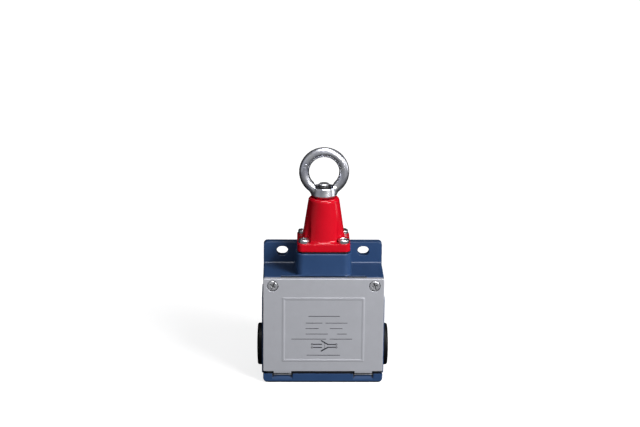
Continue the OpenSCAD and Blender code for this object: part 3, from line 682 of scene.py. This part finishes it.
def eye_painted_shade(x, y, z):
    """1 in the sunk seat (painted shade), less as a painted dark reflection along the ring's outer and inner sides, a
    little darker on the collar.
    """
    Y = np.abs(y - ya)
    seat = np.clip((5.0 - hyp(x, Y)) / 0.25, 0, 1) * np.clip((z_eye0 + 7.8 - z) / 0.6, 0, 1)
    rad = hyp(x, z - z_eye) - (eye_ro + eye_ri) / 2
    wide = 1.75 + 0.35 * (x / np.maximum(hyp(x, z - z_eye), 0.1)) ** 2
    # painted dark reflection: a dark band round the ring's outer rim
    painted_outline = np.clip((wide - Y) / 0.8, 0, 1) * np.clip((rad - 0.9) / 0.5, 0, 1) * 0.42
    inner = np.clip((1.5 - Y) / 0.8, 0, 1) * np.clip((-rad - 1.1) / 0.5, 0, 1) * 0.5 * np.clip((z - z_eye0 - 6.5) / 2, 0, 1)
    collar = 0.24 * np.clip((z_eye0 + 4.6 - z) / 0.4, 0, 1)
    return np.maximum(np.maximum(seat, collar), np.maximum(painted_outline, inner))


eye_ob = field_mesh(
    "eye_nut_finished", eye, (-13.2, -22.2, 31.6), (13.2, -7.8, 57.8), 0.13, adapt=0.01, wear=0.4, well=eye_painted_shade,
)
give(eye_ob, "zinc")
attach(eye_ob, "rod")
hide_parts("eye_nut")


# ------------------------------------------------------------------ pull rod with its thread
def rod(x, y, z):
    Y = y - ya
    r = hyp(x, Y)
    th = np.arctan2(Y, x)
    body_r = np.where(z > z_ht - 0.4, rod_r - 0.05 - 0.5 * np.clip(tri_wave(z / 1.0 - th / (2 * PI)) * 1.2 - 0.1, 0, 1), rod_r)
    d = (r - body_r) * 0.8
    d = inter(d, (z - z_rod1 + (r - 2.2) * 0.95) * 0.72, 0.08)
    d = inter(d, z - z_rod1, 0.1)
    d = inter(d, (z_rod0 - z + (r - 2.2)) * 0.7, 0.1)
    d = inter(d, z_rod0 - z, 0.15)
    d = cut(d, np.maximum(2.5 - r, slab(z, z_seat - 1.05, z_seat - 0.05)), 0.0)
    return d


def rod_painted_shade(x, y, z):
    """Painted shade on the thread inside the eye's sunk seat; the end face stays bright."""
    return np.clip((hyp(x, y - ya) - 2.1) / 0.3, 0, 1) * np.clip((z_rod1 - 0.35 - z) / 0.3, 0, 1) * np.clip((z - z_eye0 - 3.5) / 0.5, 0, 1)


rod_ob = field_mesh("pull_rod_finished", rod, (-3.5, -18.5, -8.0), (3.5, -11.5, 39.3), 0.12, adapt=0.01, wear=0.25, well=rod_painted_shade)
give(rod_ob, "rod")
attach(rod_ob, "rod")
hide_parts("pull_rod")


# ------------------------------------------------------------------ screws
def screw_field(hr, hh, sr, length, rec, full_slot=False, dome=0.55, cross_w=0.2, pitch=0.0):
    """Screw along -Z with its head's underside at z = 0."""

    def f(x, y, z):
        r = hyp(x, y)
        hd = inter(inter(r - hr, z - hh, hh * dome), -z, 0.12)
        if pitch:
            th = np.arctan2(y, x)
            rad = sr - 0.28 * pitch * np.clip(tri_wave(z / pitch - th / (2 * PI)) * 1.2 - 0.1, 0, 1) * np.clip((-z - 0.6) / 0.4, 0, 1)
        else:
            rad = sr
        sh = inter(np.maximum(r - rad, z - 0.3), (-length - z + np.maximum(r - sr + 0.5, 0)) * 0.8, 0.0)
        d = union(hd, sh, 0.1)
        depth = np.clip((z - (hh - rec)) / rec, 0, 1)
        half = hr * cross_w * (0.55 + 0.45 * depth)
        reach = hr * 0.62 * (0.45 + 0.55 * depth)
        ax, ay = np.abs(x), np.abs(y)
        a = np.maximum(ay - half, ax - reach)
        b = np.maximum(ax - half, ay - reach)
        wedge = np.abs(ax - ay) * 0.7071
        core = np.maximum(np.maximum(ax, ay) - half * 1.25, 0 * wedge - 1)
        rc = np.maximum(np.minimum(np.minimum(a, b), core), hh - rec - z)
        d = cut(d, rc, 0.06)
        if full_slot:
            d = cut(d, np.maximum(np.abs(y) - hr * 0.13, hh - rec * 0.75 - z), 0.06)
        return d

    return f


def copies(name, ob, places):
    """One object made of ob's mesh at each of the matrices."""
    parts = []
    for m in places:
        c = ob.copy()
        c.data = ob.data.copy()
        c.data.transform(m)
        bpy.context.scene.collection.objects.link(c)
        parts.append(c)
    bpy.ops.object.select_all(action="DESELECT")
    for c in parts:
        c.select_set(True)
    bpy.context.view_layer.objects.active = parts[0]
    if len(parts) > 1:
        bpy.ops.object.join()
    joined = bpy.context.view_layer.objects.active
    joined.name = name
    bpy.data.objects.remove(ob)
    return joined


def placed(x, y, z, turn=0.0, tilt=0.0):
    """Matrix that turns a screw about its own axis by turn, tips it by tilt about X, and moves it (mm, degrees)."""
    return Matrix.Translation((x * MM, y * MM, z * MM)) @ Matrix.Rotation(math.radians(tilt), 4, "X") @ Matrix.Rotation(math.radians(turn), 4, "Z")


def screws(name, nodes_name, body_name, spec, lo, hi, h, places, mat="screw"):
    hr, hh = spec["hr"], spec["hh"]
    base = field_mesh(
        name + "_one", screw_field(**spec), lo, hi, h, adapt=0.01, wear=0.25,
        # the inside of the cross recess, darkened there as painted shade
        well=lambda x, y, z: np.clip((hh - 0.1 - z) / 0.2, 0, 1) * np.clip((0.74 * hr - hyp(x, y)) / 0.1, 0, 1) * np.clip(z / 0.1, 0, 1),
    )
    give(base, mat)
    ob = copies(name, base, places)
    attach(ob, body_name)
    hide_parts(nodes_name)
    return ob


screws(
    "head_screws_finished", "head_screws", "housing",
    dict(hr=2.8, hh=2.0, sr=1.45, length=12.2, rec=1.2, pitch=0.5, dome=0.4, cross_w=0.26),
    (-3.1, -3.1, -12.6), (3.1, 3.1, 2.4), 0.1,
    [placed(sx * hs_x, ya + dy, z_hf, sx * 25 + dy * 3) for sx in (-1, 1) for dy in hs_y],
)
screws(
    "cover_screws_finished", "cover_screws", "cover",
    dict(hr=2.6, hh=1.5, sr=1.2, length=5.0, rec=0.9, pitch=0.5, full_slot=True, dome=0.4, cross_w=0.17),
    (-3.0, -3.0, -5.8), (3.0, 3.0, 1.8), 0.09,
    [placed(-scr_x, ycf + 1.4, scr_z, 62, 90), placed(scr_x, ycf + 1.4, scr_z, -72, 90)],
    mat="flush_screw",
)


# ------------------------------------------------------------------ blanking plugs
def plug(x, y, z):
    """Plug along +X with its seat on the pad at x = 0."""
    r = hyp(y, z)
    crown = x - (2.485 - 0.0035 * r * r)
    hd = inter(np.maximum(r - 10.6, -x), crown, 0.95)
    hd = cut(hd, np.maximum(np.maximum(r - 10.1, 8.0 - r), x - 0.6) * 1.0, 0.0)
    sh = np.maximum(thread(r, np.arctan2(z, y), x, 8.05, 0.5, 1.41, -4.9, 0.9), slab(x, -4.8, 0.8))
    d = np.minimum(hd, sh)
    d = cut(d, np.maximum(r - 6.4, x + 2.0), 0.2)
    s = np.maximum(np.maximum(np.abs(z) - 1.0, np.abs(y) - 6.0), 1.3 - x)
    d = cut(d, s, 0.2)
    return d


for side, name in ((1, "blanking_plug_right"), (-1, "blanking_plug_left")):
    pb = field_mesh(name + "_finished", plug, (-5.6, -11.2, -11.2), (3.2, 11.2, 11.2), 0.15, adapt=0.01, wear=0.4)
    turn = Matrix.Identity(4) if side == 1 else Matrix.Rotation(PI, 4, "Z")
    pb.data.transform(Matrix.Translation((side * pad_x * MM, entry_y * MM, ez * MM)) @ turn)
    give(pb, "plug")
    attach(pb, "housing")
    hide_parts(name)


# ------------------------------------------------------------------ the other nodes: their CAD shape with finished edges
def refit(cad, mat, width, segments=2):
    """A copy of a CAD node with its flat faces made whole and its edges rounded by width mm."""
    src = frame["nodes"][cad]
    bm = bmesh.new()
    bm.from_mesh(src.data)
    bmesh.ops.remove_doubles(bm, verts=bm.verts[:], dist=2e-6)
    bmesh.ops.dissolve_limit(bm, angle_limit=math.radians(0.6), verts=bm.verts[:], edges=bm.edges[:])
    v0 = bm.calc_volume(signed=True)
    bm.edges.ensure_lookup_table()
    sharp = [e for e in bm.edges if len(e.link_faces) == 2 and e.calc_face_angle(0) > math.radians(28)]
    bmesh.ops.bevel(bm, geom=sharp, offset=width * MM, offset_type="OFFSET", segments=segments, profile=0.5, affect="EDGES", clamp_overlap=True, loop_slide=True)
    v1 = bm.calc_volume(signed=True)
    ok = abs(v1 - v0) < 0.12 * abs(v0) and all(len(e.link_faces) == 2 for e in bm.edges)
    if not ok:
        print("refit kept plain:", cad, v0, v1)
        bm.free()
        keep(cad, mat)
        return src
    me = bpy.data.meshes.new(cad + "_finished")
    bm.to_mesh(me)
    bm.free()
    me.polygons.foreach_set("use_smooth", [True] * len(me.polygons))
    me.update()
    ob = bpy.data.objects.new(cad + "_finished", me)
    bpy.context.scene.collection.objects.link(ob)
    try:
        me.set_sharp_from_angle(angle=math.radians(35))
    except AttributeError:
        pass
    ob.data.materials.append(M[mat])
    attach(ob, src["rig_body"])
    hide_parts(cad)
    return ob


def keep(cad, mat, subdivide=0):
    ob = frame["nodes"][cad]
    for s in ob.material_slots:
        s.material = M[mat]
    if not ob.material_slots:
        ob.data.materials.append(M[mat])
    if subdivide:
        md = ob.modifiers.new("smooth", "SUBSURF")
        md.levels = md.render_levels = subdivide
    return ob


for cad, mat, width in (
    ("cover_gasket", "rubber", 0.12), ("head_gasket", "rubber", 0.12), ("plug_seals", "rubber", 0.1), ("rod_seal", "rubber", 0.08),
    ("cover_screw_rings", "spring", 0.08), ("rod_circlip", "dark", 0.1), ("guide_bush", "bronze", 0.12), ("head_base_plate", "zinc", 0.15),
    ("spring_seat", "zinc", 0.12), ("contact_block_base", "block", 0.18), ("contact_block_cover", "grey", 0.2), ("contact_plunger", "white", 0.12),
    ("contact_bridge", "brass", 0.1), ("bridge_contact_tips", "tip", 0.08), ("fixed_contacts_closed", "brass", 0.08), ("fixed_contacts_open", "brass", 0.08),
    ("fixed_contact_tips", "tip", 0.06), ("terminal_clamps", "zinc", 0.1), ("earth_washer", "zinc", 0.1),
    ("terminal_screws", "screw", 0.12), ("contact_block_screws", "screw", 0.12), ("earth_screw", "brass", 0.12),
):
    refit(cad, mat, width)
for cad in ("return_spring", "contact_spring", "plunger_spring"):
    keep(cad, "spring", 1)


# ------------------------------------------------------------------ stage: floor, light
def floor():
    bm = bmesh.new()
    bmesh.ops.create_grid(bm, x_segments=8, y_segments=8, size=3.0)
    me = bpy.data.meshes.new("studio_floor")
    bm.to_mesh(me)
    bm.free()
    ob = bpy.data.objects.new("studio_floor", me)
    bpy.context.scene.collection.objects.link(ob)
    ob.location.z = zb * MM - 0.00002
    m, nt, p = new_mat("pale_floor")
    v = coords(nt)
    f = noise(nt, v, 0.02, 3)
    nt.links.new(mix_rgb(nt, f, (0.49, 0.49, 0.493), (0.51, 0.51, 0.513)), p.inputs["Base Color"])
    p.inputs["Roughness"].default_value = 0.9
    p.inputs["Specular IOR Level"].default_value = 0.1
    p.inputs["Emission Color"].default_value = (1, 1, 1, 1)
    far = node(nt, "ShaderNodeVectorMath", operation="LENGTH")
    nt.links.new(v, far.inputs[0])
    nt.links.new(remap(nt, far.outputs["Value"], 150, 900, 0.78, 1.0), p.inputs["Emission Strength"])
    me.materials.append(m)
    return ob


floor_ob = floor()
floor_ob.visible_glossy = False
floor_ob.visible_diffuse = False
floor_ob.visible_shadow = False


def area(name, loc, size, power, colour=(1, 1, 1), size_y=None, mirror=True, diffuse=True):
    """Soft rectangular light aimed at the middle of the part; mirror or diffuse False keeps it out of that kind of reflection."""
    d = bpy.data.lights.new(name, "AREA")
    d.shape = "RECTANGLE"
    d.size = size
    d.size_y = size_y or size
    d.energy = power
    d.color = colour
    o = bpy.data.objects.new(name, d)
    bpy.context.scene.collection.objects.link(o)
    o.location = loc
    o.rotation_euler = (Vector((0, -0.015, -0.005)) - Vector(loc)).to_track_quat("-Z", "Y").to_euler()
    o.visible_glossy = mirror
    o.visible_diffuse = diffuse
    return o


area("key_softbox", (0.415, -0.465, 0.356), 0.28, 6.0, (1.0, 0.99, 0.985))
area("top_softbox", (0.06, -0.26, 1.0), 0.54, 13.0, diffuse=False)
area("right_strip", (0.94, 0.02, 0.16), 0.28, 1.5, size_y=0.6, diffuse=False)
area("left_card", (-0.86, -0.46, 0.20), 0.80, 0.42, (0.93, 0.955, 1.0), diffuse=False)
area("back_fill", (-0.45, 0.95, 0.06), 0.6, 5.0, mirror=False)

world = bpy.data.worlds.new("studio")
bpy.context.scene.world = world
world.use_nodes = True
wn = world.node_tree
for n in list(wn.nodes):
    wn.nodes.remove(n)
out = wn.nodes.new("ShaderNodeOutputWorld")
seen = wn.nodes.new("ShaderNodeBackground")
seen.inputs["Color"].default_value = (1, 1, 1, 1)
seen.inputs["Strength"].default_value = 1.0
lit = wn.nodes.new("ShaderNodeBackground")
lit.inputs["Color"].default_value = (0.97, 0.98, 1.0, 1)
tc = wn.nodes.new("ShaderNodeTexCoord")
sep = wn.nodes.new("ShaderNodeSeparateXYZ")
wn.links.new(tc.outputs["Generated"], sep.inputs[0])
dx, dy, dz = sep.outputs["X"], sep.outputs["Y"], sep.outputs["Z"]


def smooth(v, lo, hi, to_lo, to_hi):
    n = wn.nodes.new("ShaderNodeMapRange")
    n.interpolation_type = "SMOOTHSTEP"
    n.inputs["From Min"].default_value = lo
    n.inputs["From Max"].default_value = hi
    n.inputs["To Min"].default_value = to_lo
    n.inputs["To Max"].default_value = to_hi
    wn.links.new(v, n.inputs["Value"])
    return n.outputs["Result"]


# grey room: lighter toward the front and the ceiling, darker behind and below
front = smooth(dy, 0.25, -1.0, 0.0, 0.26)
ceiling = smooth(dz, 0.05, 1.0, 0.0, 0.15)
room = math_node(wn, "ADD", math_node(wn, "ADD", front, ceiling), smooth(dx, -0.2, 0.9, 0.03, 0.15))
level = math_node(wn, "MULTIPLY", room, smooth(dz, -0.8, -0.1, 0.22, 1.0))
low_back = math_node(wn, "MULTIPLY", smooth(dy, 0.05, 0.5, 0.0, 0.85), smooth(dz, 0.95, 0.6, 0.0, 1.0))
level = math_node(wn, "MULTIPLY", level, math_node(wn, "SUBTRACT", 1.0, low_back))
wn.links.new(level, lit.inputs["Strength"])
lp = wn.nodes.new("ShaderNodeLightPath")
mx = wn.nodes.new("ShaderNodeMixShader")
wn.links.new(lp.outputs["Is Camera Ray"], mx.inputs[0])
wn.links.new(lit.outputs[0], mx.inputs[1])
wn.links.new(seen.outputs[0], mx.inputs[2])
wn.links.new(mx.outputs[0], out.inputs["Surface"])

vs = bpy.context.scene.view_settings
vs.view_transform = "Standard"
vs.look = "None"
vs.exposure = 0.0
vs.gamma = 1.0
